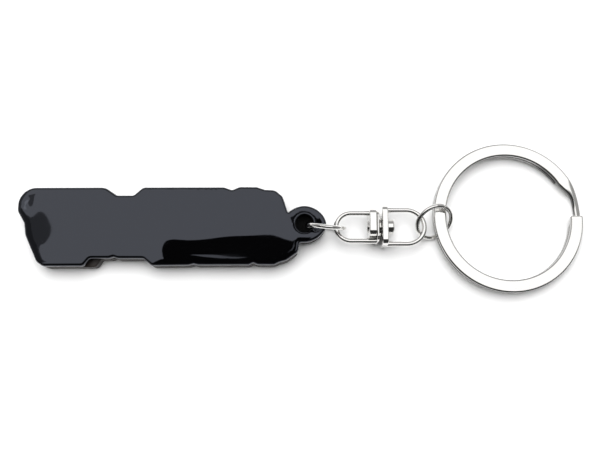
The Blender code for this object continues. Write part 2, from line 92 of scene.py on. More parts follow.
# Pendant outline as (x, y, corner radius), clockwise from the round nose.
BODY_UPPER = [
    (-55.92, 3.08, 3.4),
    (-54.98, 4.70, 3.4),
    (-53.36, 5.66, 3.4),
    (-38.9, 5.71, 2.4),
    (-36.5, 4.09, 0.9),
    (-33.2, 4.09, 0.9),
    (-31.4, 5.73, 1.5),
    (-15.4, 5.76, 1.2),
    (-13.8, 5.18, 0.8),
    (-12.3, 5.83, 1.2),
    (-8.9, 5.81, 1.4),
    (-7.3, 5.26, 0.9),
    (-5.3, 5.16, 1.5),
    (-3.8, 3.9, 1.5),
    (-2.72, 0.62, 0.35),
]
BODY_LOWER = [
    (-0.40, -5.36, 0.30),
    (-0.75, -7.25, 1.3),
    (-3.0, -8.85, 1.0),
    (-4.4, -9.25, 0.6),
    (-5.4, -9.74, 0.8),
    (-8.6, -9.71, 0.8),
    (-9.45, -9.32, 0.4),
    (-10.3, -9.74, 0.8),
    (-20.1, -9.76, 0.8),
    (-21.0, -9.56, 0.4),
    (-22.0, -9.82, 0.8),
    (-29.1, -9.91, 1.1),
    (-30.8, -8.53, 0.9),
    (-35.7, -8.53, 0.8),
    (-36.6, -8.24, 0.4),
    (-37.5, -8.51, 0.8),
    (-41.2, -8.50, 0.9),
    (-42.4, -10.00, 1.1),
    (-50.2, -10.03, 1.5),
    (-51.55, -9.1, 1.8),
    (-54.05, -3.9, 2.5),
    (-54.45, -1.45, 1.0),
    (-55.88, 0.9, 1.5),
]
LUG_CENTRE = np.array((0.50, -1.66))
LUG_REACH = np.array((4.28, 3.66))
LUG_POWER = 1.85
LUG_TURN = (132.0, -92.0)
LUG_HOLE = np.array((0.50, -1.60))
LUG_HOLE_RADIUS = 1.75
LUG_HOLE_EDGE = 0.26

# The gloss face: the length over which its fall at the rim fades out, how far in its waves reach
# their full height, the most that its two waves add up to, and the spacing of its points.
ROLL_LENGTH = 0.36
WAVE_MARGIN = 1.6
WAVE_CREST = 1.6
FACE_SPACING = 0.5

# Swivel plates as (low x, high x, low y, high y), y from the chain's line.
INNER_TAB = (13.10, 14.53, -2.12, 3.28)
OUTER_TAB = (14.57, 14.95, -3.25, 2.90)
KEY_PLATE = (15.55, 16.73, -3.90, 3.90)
PLATE_HALF_DEPTH = 2.95
PLATE_CORNER = 1.2
PLATE_EDGE = 0.20
PLATE_EDGE_SHARE = 0.42
RIVET_HOLE_RADIUS = 0.78
RIVET_HOLE_EDGE = 0.04

# The rivet: shank, collar, head and tail, with the radii that round them over.
RIVET_CLEARANCE = 0.05
RIVET_BREAK = 0.06
SHANK_RADIUS = 0.70
COLLAR_RADIUS = 1.90
COLLAR_ROUND = 0.18
HEAD_RADIUS = 1.54
HEAD_LENGTH = 1.30
HEAD_ROUND = 0.34
TAIL_RADIUS = 1.20
TAIL_LENGTH = 0.30
TAIL_ROUND = 0.22

# The split ring's strip, in degrees turned from its free end on top, and in mm.
STRIP_START = -1.5
STRIP_STOP = 685.0
JOGGLE_START = 327.0
JOGGLE_END = 357.0
JOGGLE_PINCH = 1.25
JOGGLE_RUB = (0.85, 0.30)
EDGE_POWER = 1.4
JOGGLE_NARROWS_BY = 0.6
JOGGLE_WIDENS_BY = 0.4
JOGGLE_LEAD = 5.0
JOGGLE_SETTLING = 18.0
STRIP_TIP = 0.28
STRIP_TIP_TURN = 1.5
STRIP_TURNS = 1.9

# Where the middles of the strip's side walls lie on its unrolled section, in half sections, how
# far the walls' painted shade reaches from there, and the painted shade itself, as a share of the
# plating's colour: on most of the ring, and in the joggle, which starts at a place along X.
WALL_PLACE = 0.964
WALL_REACH = 0.16
WALL_PAINTED_SHADE = 0.55
JOGGLE_PAINTED_SHADE = 0.12
JOGGLE_LEFT = 46.0

# Bows as (shoulder x, bow x, half width).
PENDANT_BOW = (9.7, 6.75, 2.77)
KEY_BOW = (20.6, 24.1, 3.38)

# Near a plate a bow's wire is thicker by a share of its radius, which fades with distance.
WIRE_SWELL = 0.10
SWELL_KEPT = 0.6
SWELL_FADE = 1.4


class KeychainSizes(bpy.types.PropertyGroup):
    """Sizes that a user may want to change."""

    edge_round: bpy.props.FloatProperty(
        name="Plate edge", description="Radius of the gloss plate's edges, mm", default=0.58
    )
    edge_roll: bpy.props.FloatProperty(
        name="Plate roll-off",
        description="How far the gloss face falls towards its edge, mm",
        default=0.04,
    )
    wave_height: bpy.props.FloatProperty(
        name="Face wave", description="Height of the gloss face's slow waves, mm", default=0.012
    )
    jump_wire: bpy.props.FloatProperty(
        name="Jump ring wire", description="Radius of the jump rings' wire, mm", default=0.425
    )
    jump_gap: bpy.props.FloatProperty(
        name="Jump ring joint", description="Gap at a jump ring's butt joint, mm", default=0.16
    )
    loop_wire: bpy.props.FloatProperty(
        name="Swivel wire", description="Radius of the swivel bows' wire, mm", default=0.50
    )
    band: bpy.props.FloatProperty(
        name="Split ring band", description="Width of the split ring's strip, mm", default=2.45
    )
    turn_height: bpy.props.FloatProperty(
        name="Split ring turn", description="Height of one turn of the strip, mm", default=0.95
    )
    turn_gap: bpy.props.FloatProperty(
        name="Split ring gap", description="Gap between the strip's turns, mm", default=0.10
    )
    band_edge: bpy.props.FloatProperty(
        name="Split ring edge",
        description="How far in the strip's edges round over, mm",
        default=0.30,
    )
    band_drop: bpy.props.FloatProperty(
        name="Split ring edge drop",
        description="How far down the strip's edges round over, mm",
        default=0.18,
    )


class KeychainFinishes(bpy.types.PropertyGroup):
    """Colours that a user may want to change."""

    lacquer: bpy.props.FloatVectorProperty(
        name="Gloss back",
        description="Colour of the pendant's gloss back",
        subtype="COLOR",
        default=(0.0010, 0.0010, 0.0012),
    )
    moulding: bpy.props.FloatVectorProperty(
        name="Front moulding",
        description="Colour of the pendant's front layer",
        subtype="COLOR",
        default=(0.010, 0.0065, 0.0050),
    )
    plating: bpy.props.FloatVectorProperty(
        name="Plating",
        description="Colour of the bright metal",
        subtype="COLOR",
        default=(0.84, 0.835, 0.82),
    )
    floor: bpy.props.FloatVectorProperty(
        name="Floor",
        description="Colour of the floor",
        subtype="COLOR",
        default=(0.90, 0.90, 0.90),
    )


class KeychainStudio(bpy.types.PropertyGroup):
    """Camera and light."""

    lens: bpy.props.FloatProperty(
        name="Lens", description="Focal length of the camera, mm", default=42.0
    )
    distance: bpy.props.FloatProperty(
        name="Distance",
        description="From the camera to the point that it looks at",
        default=0.1386,
        subtype="DISTANCE",
    )
    tilt: bpy.props.FloatProperty(
        name="Tilt",
        description="How far the camera leans from looking straight down",
        default=math.radians(11.0),
        subtype="ANGLE",
    )
    overhead: bpy.props.FloatProperty(
        name="Soft box",
        description="Brightness of the overhead soft box in reflections",
        default=1.27,
    )
    panel: bpy.props.FloatProperty(
        name="Panel light", description="Power of the panel that lights the floor, W", default=6.2
    )
    surround: bpy.props.FloatProperty(
        name="Front light", description="Strength of the dark side behind the camera", default=0.035
    )
    bounce: bpy.props.FloatProperty(
        name="Wall light", description="Strength of the other sides' walls", default=0.36
    )


# Shapes ---------------------------------------------------------------------------------------


def left_of(direction):
    """A direction, or rows of them, turned a quarter turn anticlockwise."""
    return np.stack([-direction[..., 1], direction[..., 0]], axis=-1)


def circle(centre, radius, steps, inward=False):
    """Points centre + radius (cos a, sin a), and their outward or inward unit normals."""
    angle = np.linspace(0.0, 2.0 * math.pi, steps, endpoint=False)
    around = np.stack([np.cos(angle), np.sin(angle)], axis=-1)
    return centre + radius * around, -around if inward else around


def rounded_outline(corners, turn_step=math.radians(6.0), longest=0.9):
    """A clockwise outline of straight sides joined by arcs that touch both sides.

    At a corner where the travel turns by an angle A, the arc starts r tan(A/2) before the corner,
    and its points are its centre plus or minus r times the left normal of the turning direction.
    Returns the points and the outward unit normals.
    """
    spots = np.array([corner[:2] for corner in corners], float)
    sides = np.roll(spots, -1, axis=0) - spots
    lengths = np.linalg.norm(sides, axis=1)
    headings = sides / lengths[:, None]
    points, normals = [], []
    for i, (spot, corner) in enumerate(zip(spots, corners)):
        before, after = headings[i - 1], headings[i]
        turn = math.atan2(before[0] * after[1] - before[1] * after[0], before @ after)
        reach = corner[2] * math.tan(abs(turn) / 2.0)
        reach = min(reach, 0.48 * lengths[i - 1], 0.48 * lengths[i])
        radius = reach / max(math.tan(abs(turn) / 2.0), 1e-9)
        side = -math.copysign(1.0, turn)
        start = spot - before * reach
        steps = max(1, math.ceil(abs(turn) / turn_step)) if radius > 1e-6 else 0
        angle = turn * np.linspace(0.0, 1.0, steps + 1) if steps else np.array([turn / 2.0])
        cos, sin = np.cos(angle), np.sin(angle)
        heading = np.stack(
            [before[0] * cos - before[1] * sin, before[0] * sin + before[1] * cos], axis=-1
        )
        centre = start - side * left_of(before) * radius
        points.append(centre + side * left_of(heading) * radius)
        normals.append(left_of(heading))
    filled, outward = [], []
    for i, arc in enumerate(points):
        start, end = arc[-1], points[(i + 1) % len(points)][0]
        count = int(np.linalg.norm(end - start) // longest)
        share = np.linspace(0.0, 1.0, count + 2)[1:-1, None]
        filled += [arc, start + (end - start) * share]
        outward += [normals[i], np.tile(left_of(headings[i]), (count, 1))]
    return np.concatenate(filled), np.concatenate(outward)


def rounded_rectangle(low_x, high_x, low_y, high_y, corner):
    """Four straight sides joined by four quarter circles, clockwise."""
    spots = ((low_x, low_y), (low_x, high_y), (high_x, high_y), (high_x, low_y))
    return rounded_outline([(x, y, corner) for x, y in spots], math.radians(9.0), 5.0)


def lug_end(steps=84):
    """The lug's oval end as corners with no radius, from its upper left round to straight down.

    |x / a|^n + |y / b|^n = 1, reached with x = a cos(t)^(2/n) and y = b sin(t)^(2/n).
    """
    angle = np.radians(np.linspace(*LUG_TURN, steps + 1))
    turn = np.stack([np.cos(angle), np.sin(angle)], axis=-1)
    arc = LUG_CENTRE + LUG_REACH * np.sign(turn) * np.abs(turn) ** (2.0 / LUG_POWER)
    return [(x, y, 0.0) for x, y in arc]


def edge_profile(low, high, radius, end_slope=0.0, steps=7):
    """Rows of (inset, height) up a slab's side: a quarter round, the wall, a quarter round.

    A quarter round is radius (1 - cos a, sin a), with a from 0 to 90 degrees less end_slope. The
    upper one stops short by end_slope, so that a face that keeps falling joins it smoothly.
    """
    lower = np.linspace(math.pi / 2.0, 0.0, steps)
    upper = np.linspace(0.0, math.pi / 2.0 - end_slope, steps)
    under = np.stack([radius * (1.0 - np.cos(lower)), low + radius * (1.0 - np.sin(lower))], -1)
    rise = radius * np.sin(upper)
    over = np.stack([radius * (1.0 - np.cos(upper)), high - rise[-1] + rise], -1)
    return np.concatenate([under, over])


def rim(outline, profile):
    """A profile carried along an outline: point minus inset times normal, at each height."""
    points, normals = outline
    flat = points[None] - profile[:, 0, None, None] * normals[None]
    height = np.broadcast_to(profile[:, 1, None, None], flat.shape[:2] + (1,))
    return np.concatenate([flat, height], axis=-1)


def grid_faces(rows, columns, closed=False, first=0):
    """Quads of a grid of points numbered row by row, its last column joined to its first."""
    i, j = np.meshgrid(np.arange(rows - 1), np.arange(columns - (not closed)), indexing="ij")
    across = (j + 1) % columns
    corners = [i * columns + j, i * columns + across, (i + 1) * columns + across]
    corners.append((i + 1) * columns + j)
    return np.stack(corners, axis=-1).reshape(-1, 4) + first


def grid_uv(rows, columns, closed, long, wide):
    """Each quad corner's place on the unrolled grid, in metres: (along, across)."""
    i, j = np.meshgrid(np.arange(rows - 1), np.arange(columns - (not closed)), indexing="ij")
    along = np.stack([i, i, i + 1, i + 1], axis=-1) / (rows - 1) * long
    across = np.stack([j, j + 1, j + 1, j], axis=-1) / columns * wide
    return np.stack([along, across], axis=-1).reshape(-1, 2) * MM


def inside(points, loop):
    """True where a line from the point in +x crosses the closed loop an odd number of times."""
    ahead = np.roll(loop, -1, axis=0)
    x, y = points[:, :1], points[:, 1:]
    spans = (loop[:, 1] > y) != (ahead[:, 1] > y)
    rise = ahead[:, 1] - loop[:, 1]
    slope = (ahead[:, 0] - loop[:, 0]) / np.where(rise == 0.0, 1.0, rise)
    return ((spans & (x < loop[:, 0] + (y - loop[:, 1]) * slope)).sum(axis=1) % 2) == 1


def distance_to(points, loops):
    """Each point's distance to the nearest point of the loops."""
    edge = np.concatenate(loops)
    return np.sqrt(((points[:, None] - edge[None]) ** 2).sum(axis=-1)).min(axis=1)


def cap(loops, spacing=None):
    """Triangles that fill the first loop outside the others, with a lattice of inner points.

    Returns the inner points and triangles that number the loops' points first, then those.
    """
    rims = np.concatenate(loops)
    inner = np.zeros((0, 2))
    if spacing:
        low, high = rims.min(axis=0), rims.max(axis=0)
        rows = np.arange(low[1], high[1], spacing * math.sqrt(0.75))
        across = np.arange(low[0], high[0], spacing)
        x, y = np.meshgrid(across, rows)
        x = x + (np.arange(len(rows)) % 2)[:, None] * spacing / 2.0
        inner = np.stack([x.ravel(), y.ravel()], axis=-1)
        keep = inside(inner, loops[0])
        for loop in loops[1:]:
            keep &= ~inside(inner, loop)
        inner = inner[keep]
        inner = inner[distance_to(inner, loops) > spacing * 0.6]
    edges, first = [], 0
    for loop in loops:
        number = np.arange(len(loop))
        edges.append(np.stack([number, np.roll(number, -1)], axis=-1) + first)
        first += len(loop)
    flat = np.concatenate([rims, inner])
    made = delaunay_2d_cdt(flat.tolist(), np.concatenate(edges).tolist(), [], 1, 1e-7)
    source = np.array([came_from[0] for came_from in made[3]])
    triangles = source[np.array(made[2])]
    middles = flat[triangles].mean(axis=1)
    keep = inside(middles, loops[0])
    for loop in loops[1:]:
        keep &= ~inside(middles, loop)
    return inner, triangles[keep]


def slab(outline, holes, profile, hole_profile, spacing=None, top=None):
    """A slab with rounded edges and round holes, as points and a list of face arrays.

    Its sides are the profile carried along the outline and along each hole. Its caps fill what
    is left, and top(flat points, distance to the rim) gives the upper cap's height.
    """
    sides = [rim(outline, profile)] + [rim(hole, hole_profile) for hole in holes]
    points, faces, starts, first = [], [], [], 0
    for side in sides:
        rows, columns = side.shape[:2]
        points.append(side.reshape(-1, 3))
        faces.append(grid_faces(rows, columns, True, first))
        starts.append((first, first + (rows - 1) * columns, columns))
        first += rows * columns
    for level in (0, -1):
        loops = [side[level, :, :2] for side in sides]
        inner, triangles = cap(loops, spacing if level else None)
        numbers = [np.arange(columns) + start[level] for *start, columns in starts]
        numbers.append(np.arange(len(inner)) + first)
        faces.append(np.concatenate(numbers)[triangles])
        height = np.full((len(inner), 1), profile[level, 1])
        if top is not None and len(inner):
            height = top(inner, distance_to(inner, loops))[:, None]
        points.append(np.concatenate([inner, height], axis=1))
        first += len(inner)
    return np.concatenate(points), faces


def tube(path, radius, normal, steps=28, tip=0.08):
    """A round wire along a flat path: centre + r (cos b sideways + sin b normal).

    Sideways is the normal crossed with the path's direction. At both ends the radius closes by a
    small quarter round of size tip, before a flat end face.
    """
    radius = np.broadcast_to(np.asarray(radius, float), (len(path),))
    tangent = np.gradient(path, axis=0)
    tangent /= np.linalg.norm(tangent, axis=1)[:, None]
    curve = np.linspace(0.0, math.pi / 2.0, 5)
    back, shrink = tip * (1.0 - np.sin(curve)), tip * (1.0 - np.cos(curve))
    start = path[0] + tangent[0] * back[::-1, None]
    end = path[-1] - tangent[-1] * back[:, None]
    middle = slice(1, -1)
    centres = np.concatenate([start, path[middle], end])
    directions = np.concatenate(
        [np.tile(tangent[0], (5, 1)), tangent[middle], np.tile(tangent[-1], (5, 1))]
    )
    reach = np.concatenate([radius[0] - shrink[::-1], radius[middle], radius[-1] - shrink])
    normal = np.asarray(normal, float)
    sideways = np.cross(normal, directions)
    turn = np.linspace(0.0, 2.0 * math.pi, steps, endpoint=False)
    around = sideways[:, None] * np.cos(turn)[:, None] + normal * np.sin(turn)[:, None]
    return centres[:, None] + reach[:, None, None] * around


def turned(profile, steps=64):
    """A profile of (radius, height) turned about X: (height, r cos a, r sin a)."""
    angle = np.linspace(0.0, 2.0 * math.pi, steps, endpoint=False)
    radius, height = profile[:, :1], profile[:, 1:]
    x = np.broadcast_to(height, (len(profile), steps))
    return np.stack([x, radius * np.cos(angle), radius * np.sin(angle)], axis=-1)


def ease(value):
    """0 to 1 with level ends: 3 v squared minus 2 v cubed."""
    value = np.clip(value, 0.0, 1.0)
    return value * value * (3.0 - 2.0 * value)


# Meshes ---------------------------------------------------------------------------------------


def new_piece(name, points, faces, uv=None):
    """A mesh object from points in millimetres and arrays of faces, turned to face outwards."""
    mesh = bpy.data.meshes.new(name)
    mesh.from_pydata((points * MM).tolist(), [], [f for part in faces for f in part.tolist()])
    if uv is not None:
        layer = mesh.uv_layers.new(name="UVMap")
        flat = np.zeros((len(mesh.loops), 2))
        flat[: len(uv)] = uv
        layer.data.foreach_set("uv", flat.ravel())
    shape = bmesh.new()
    shape.from_mesh(mesh)
    bmesh.ops.recalc_face_normals(shape, faces=shape.faces)
    shape.to_mesh(mesh)
    shape.free()
    mesh.shade_smooth()
    mesh.set_sharp_from_angle(angle=math.radians(42.0))
    obj = bpy.data.objects.new(name, mesh)
    bpy.context.scene.collection.objects.link(obj)
    return obj


def swept(grids, lengths):
    """Points, faces and UVs of closed-section grids, each with a flat face at either end."""
    points, faces, uvs, first = [], [], [], 0
    for grid, (long, wide) in zip(grids, lengths):
        rows, columns = grid.shape[:2]
        points.append(grid.reshape(-1, 3))
        faces.append(grid_faces(rows, columns, True, first))
        uvs.append(grid_uv(rows, columns, True, long, wide))
        first += rows * columns
    ends, first = [], 0
    for grid in grids:
        rows, columns = grid.shape[:2]
        ends.append(np.arange(columns)[None] + first)
        ends.append(np.arange(columns)[None] + first + (rows - 1) * columns)
        first += rows * columns
    return np.concatenate(points), faces + ends, np.concatenate(uvs)


def finish_piece(obj, material, body, slot_name, *nodes):
    """Gives a piece its finish, ties it to its body and lets it stand for its CAD nodes."""
    obj.data.materials.append(material)
    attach(obj, body)
    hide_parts(*nodes)
    return obj


# Finishes -------------------------------------------------------------------------------------


def add_node(tree, kind, sockets=None, **settings):
    """A shader node with its settings, each socket given a value or linked to another's."""
    made = tree.nodes.new(kind)
    for key, value in settings.items():
        setattr(made, key, value)
    for key, value in (sockets or {}).items():
        if isinstance(value, bpy.types.NodeSocket):
            tree.links.new(value, made.inputs[key])
        else:
            made.inputs[key].default_value = value
    return made


def new_material(name):
    """An empty Principled material: its tree and its shader."""
    made = bpy.data.materials.new(name)
    made.use_nodes = True
    return made, made.node_tree, made.node_tree.nodes["Principled BSDF"]


def noise(tree, coordinates, scale, detail=3.0, stretch=(1.0, 1.0, 1.0), roughness=0.5):
    """A noise value from 0 to 1, its pattern stretched by dividing the coordinates."""
    squeezed = tuple(1.0 / s for s in stretch)
    mapped = add_node(tree, "ShaderNodeMapping", {"Vector": coordinates, "Scale": squeezed})
    made = add_node(
        tree,
        "ShaderNodeTexNoise",
        {
            "Vector": mapped.outputs["Vector"],
            "Scale": scale,
            "Detail": detail,
            "Roughness": roughness,
        },
    )
    return made.outputs["Fac"]


def spread(tree, value, low, high, to_low, to_high):
    """The value moved from one range to another, and held at its ends."""
    made = add_node(
        tree,
        "ShaderNodeMapRange",
        {"Value": value, "From Min": low, "From Max": high, "To Min": to_low, "To Max": to_high},
    )
    return made.outputs["Result"]


def smooth_step(tree, value, start, end):
    """0 at the start and 1 at the end, with level ends between."""
    sockets = {"Value": value, "From Min": start, "From Max": end}
    made = add_node(tree, "ShaderNodeMapRange", sockets, interpolation_type="SMOOTHSTEP")
    return made.outputs["Result"]


def maths(tree, operation, first, second):
    """One operation on two values or sockets."""
    made = add_node(tree, "ShaderNodeMath", {0: first, 1: second}, operation=operation)
    return made.outputs["Value"]


def plus(tree, base, value, factor):
    """The base plus the value times a factor."""
    return maths(tree, "ADD", base, maths(tree, "MULTIPLY", value, factor))


def mix_colour(tree, share, first, second):
    """The first colour at a share of 0 and the second at 1; each is a colour or a socket."""
    made = add_node(tree, "ShaderNodeMix", data_type="RGBA")
    inputs = {socket.identifier: socket for socket in made.inputs}
    tree.links.new(share, inputs["Factor_Float"])
    for key, colour in (("A_Color", first), ("B_Color", second)):
        if isinstance(colour, bpy.types.NodeSocket):
            tree.links.new(colour, inputs[key])
        else:
            inputs[key].default_value = (*colour, 1.0)
    return next(socket for socket in made.outputs if socket.identifier == "Result_Color")


def bump(tree, height, depth, under=None):
    """Bump of a depth in metres, over another bump if one is given."""
    sockets = {"Height": height, "Distance": depth, "Strength": 1.0}
    if under is not None:
        sockets["Normal"] = under
    return add_node(tree, "ShaderNodeBump", sockets).outputs["Normal"]


def object_coordinates(tree):
    """A piece's own coordinates, in metres."""
    return add_node(tree, "ShaderNodeTexCoord").outputs["Object"]


def uv_coordinates(tree):
    """A piece's place along and round its surface, in metres."""
    return add_node(tree, "ShaderNodeUVMap", uv_map="UVMap").outputs["UV"]


def gloss_lacquer(colour):
    """Near-black poured lacquer: handling smudges, hairline scratches, dust and slow waves."""
    made, tree, shader = new_material("black_gloss_lacquer")
    place = object_coordinates(tree)
    smudge = spread(tree, noise(tree, place, 95.0, 5.0, (1.6, 1.0, 1.0)), 0.42, 0.72, 0.0, 1.0)
    wiped = noise(tree, place, 900.0, 4.0, (9.0, 1.0, 1.0))
    hair = spread(tree, noise(tree, place, 2600.0, 2.0, (22.0, 1.0, 1.0)), 0.66, 0.74, 0.0, 1.0)
    speck = spread(tree, noise(tree, place, 4200.0, 1.0), 0.76, 0.80, 0.0, 1.0)
    rough = plus(tree, 0.030, smudge, 0.045)
    rough = plus(tree, rough, maths(tree, "MULTIPLY", smudge, wiped), 0.06)
    rough = plus(tree, rough, hair, 0.05)
    pale = tuple(4.0 * c for c in colour)
    tone = mix_colour(tree, maths(tree, "MULTIPLY", speck, 0.5), colour, pale)
    tree.links.new(tone, shader.inputs["Base Color"])
    tree.links.new(plus(tree, rough, speck, 0.15), shader.inputs["Roughness"])
    waves = bump(tree, noise(tree, place, 70.0, 1.0), 3.0e-5)
    peel = bump(tree, noise(tree, place, 420.0, 2.0), 1.2e-6, waves)
    lines = bump(tree, hair, 2.0e-7, peel)
    tree.links.new(lines, shader.inputs["Normal"])
    shader.inputs["IOR"].default_value = 1.5
    shader.inputs["Specular IOR Level"].default_value = 0.76
    shader.inputs["Specular Tint"].default_value = (0.80, 0.85, 1.0, 1.0)
    return made


def satin_moulding(colour):
    """Dark moulded front: fine grain, a slightly rubbed tone, and a dull black tongue under the
    lug, which is painted shade for the lug's hole.
    """
    made, tree, shader = new_material("dark_brown_moulding")
    place = object_coordinates(tree)
    rubbed = spread(tree, noise(tree, place, 260.0, 5.0), 0.35, 0.75, 0.0, 1.0)
    grain = noise(tree, place, 5200.0, 3.0)
    wear_and_wall_shade = tuple(1.9 * c for c in colour)
    # Painted shade: the tongue under the lug's hole is coloured black and made rougher, so that the
    # hole reads dark.
    along = add_node(tree, "ShaderNodeSeparateXYZ", {0: place}).outputs["X"]
    tongue = smooth_step(tree, along, -1.6 * MM, -1.0 * MM)
    body = mix_colour(tree, rubbed, colour, wear_and_wall_shade)
    black = (0.0004, 0.0004, 0.0004)
    tree.links.new(mix_colour(tree, tongue, body, black), shader.inputs["Base Color"])
    rough = plus(tree, 0.34, grain, 0.16)
    rough = plus(tree, rough, rubbed, -0.08)
    tree.links.new(plus(tree, rough, tongue, 0.5), shader.inputs["Roughness"])
    tree.links.new(bump(tree, grain, 6.0e-6), shader.inputs["Normal"])
    shader.inputs["Specular IOR Level"].default_value = 0.40
    return made


def wall_painted_shade_mask(tree, wide):
    """1 on the strip's two side walls, where shade is painted, and 0 on its flat faces, from the
    way round its section.

    The walls lie at the same place in both halves of the section, so twice the share of the way
    round is folded at one half, which gives the distance from the nearer wall's middle.
    """
    across = add_node(tree, "ShaderNodeSeparateXYZ", {0: uv_coordinates(tree)}).outputs["Y"]
    twice = maths(tree, "MULTIPLY", across, 2.0 / (wide * MM))
    folded = maths(tree, "PINGPONG", maths(tree, "SUBTRACT", twice, WALL_PLACE), 0.5)
    return smooth_step(tree, folded, WALL_REACH, WALL_REACH * 0.4)


def joggle_painted_shade_mask(tree):
    """1 on the part of the ring where the strip steps down and the walls' painted shade is darkest,
    from its place along X and Y.
    """
    axes = add_node(tree, "ShaderNodeSeparateXYZ", {0: object_coordinates(tree)})
    right = smooth_step(tree, axes.outputs["X"], JOGGLE_LEFT * MM, (JOGGLE_LEFT + 3.0) * MM)
    above = smooth_step(tree, axes.outputs["Y"], 0.2 * MM, 1.2 * MM)
    return maths(tree, "MULTIPLY", right, above)


def bright_plating(name, colour, along_piece, roughness=0.07, scratch=1.0, wide=0.0):
    """Bright nickel: faint cloudy tone, drawing or polishing lines, pits and light scuffs.

    Where a strip's width round its section is given, its side walls get a painted shade, darkest in
    the joggle.
    """
    made, tree, shader = new_material(name)
    place = object_coordinates(tree)
    cloud = noise(tree, place, 210.0, 4.0)
    if along_piece:
        lines = noise(tree, uv_coordinates(tree), 5200.0, 3.0, (34.0, 1.0, 1.0))
    else:
        lines = noise(tree, place, 5200.0, 3.0, (1.0, 1.0, 26.0))
    scuff = spread(tree, noise(tree, place, 1500.0, 5.0), 0.58, 0.78, 0.0, 1.0)
    pit = spread(tree, noise(tree, place, 6800.0, 2.0), 0.74, 0.80, 0.0, 1.0)
    dull = tuple(c * f for c, f in zip(colour, (0.90, 0.885, 0.86)))
    share = plus(tree, maths(tree, "MULTIPLY", cloud, 0.5), pit, 0.5)
    tone = mix_colour(tree, share, colour, dull)
    # Painted shade: a strip's side walls take a darker share of the plating's colour, darkest where
    # the strip steps down in the joggle.
    if wide:
        wear_and_wall_shade, dark = (tuple(c * t for c in colour) for t in (WALL_PAINTED_SHADE, JOGGLE_PAINTED_SHADE))
        wall = mix_colour(tree, joggle_painted_shade_mask(tree), wear_and_wall_shade, dark)
        tone = mix_colour(tree, wall_painted_shade_mask(tree, wide), tone, wall)
    tree.links.new(tone, shader.inputs["Base Color"])
    rough = plus(tree, roughness, lines, 0.05 * scratch)
    rough = plus(tree, rough, scuff, 0.07 * scratch)
    tree.links.new(plus(tree, rough, pit, 0.12), shader.inputs["Roughness"])
    drawn = bump(tree, lines, 5.0e-7 * scratch)
    tree.links.new(bump(tree, pit, -1.0e-6, drawn), shader.inputs["Normal"])
    shader.inputs["Metallic"].default_value = 1.0
    return made


# Pieces ---------------------------------------------------------------------------------------


def gloss_face(roll, wave, high):
    """Height of the gloss face: its level, less a fall at the rim, plus slow crossing waves.

    The fall is roll e^(-d / length) at a distance d from the rim. The waves are the product of
    two slanting sines, plus a smaller third one, and they ease in from the rim.
    """

    def height(points, distance):
        x, y = points[:, 0], points[:, 1]
        swell = np.sin(0.42 * x + 0.25 * y) * np.sin(0.55 * y + 0.9 + 0.08 * x)
        swell = swell + 0.6 * np.sin(0.19 * x - 0.5 * y + 2.0)
        settled = ease(distance / WAVE_MARGIN)
        fall = roll - roll * np.exp(-distance / ROLL_LENGTH)
        return high + fall - wave * (WAVE_CREST - swell) * settled

    return height


class KEYCHAIN_OT_gloss_back(bpy.types.Operator):
    """Builds the pendant's gloss back, with its lug and the lug's hole"""

    bl_idname = "keychain.gloss_back"
    bl_label = "Gloss back"

    def execute(self, context):
        sizes = context.scene.keychain_sizes
        roll = sizes.edge_roll
        outline = rounded_outline(BODY_UPPER + lug_end() + BODY_LOWER)
        hole = circle(LUG_HOLE, LUG_HOLE_RADIUS, 72, inward=True)
        slope = math.atan(roll / ROLL_LENGTH)
        sides = edge_profile(PLATE_LOW, PLATE_HIGH - roll, sizes.edge_round, slope)
        hole_sides = edge_profile(PLATE_LOW, PLATE_HIGH - roll, LUG_HOLE_EDGE, slope)
        face = gloss_face(roll, sizes.wave_height, PLATE_HIGH - roll)
        points, faces = slab(outline, [hole], sides, hole_sides, FACE_SPACING, face)
        obj = new_piece("pendant_gloss_back", points, faces)
        finish = gloss_lacquer(context.scene.keychain_finishes.lacquer)
        finish_piece(obj, finish, "pendant", "black_gloss", "pendant_back_plate")
        return {"FINISHED"}


class KEYCHAIN_OT_front_relief(bpy.types.Operator):
    """Gives the pendant's front layer its moulded finish"""

    bl_idname = "keychain.front_relief"
    bl_label = "Front relief"

    def execute(self, context):
        node = frame["nodes"]["pendant_front_relief"]
        node.data.materials.clear()
        node.data.materials.append(satin_moulding(context.scene.keychain_finishes.moulding))
        return {"FINISHED"}


def ring_plane(heading, tilt):
    """Two directions in a ring's plane: level along its heading, and rising by its tilt."""
    heading, tilt = np.radians((heading, tilt))
    level = np.array((math.cos(heading), math.sin(heading), 0.0))
    side = np.array((-math.sin(heading), math.cos(heading), 0.0))
    return level, side * math.cos(tilt) + np.array((0.0, 0.0, math.sin(tilt)))


def cut_ring(centre, first, second, radius, wire, gap, joint_angle, steps=150):
    """A cut ring's wire: centre + R (cos a first + sin a second), from one side of its joint."""
    half = gap / 2.0 / radius
    angle = math.radians(joint_angle) + np.linspace(half, 2.0 * math.pi - half, steps)
    across = first * np.cos(angle)[:, None] + second * np.sin(angle)[:, None]
    path = centre + radius * across
    return tube(path, wire, np.cross(first, second))


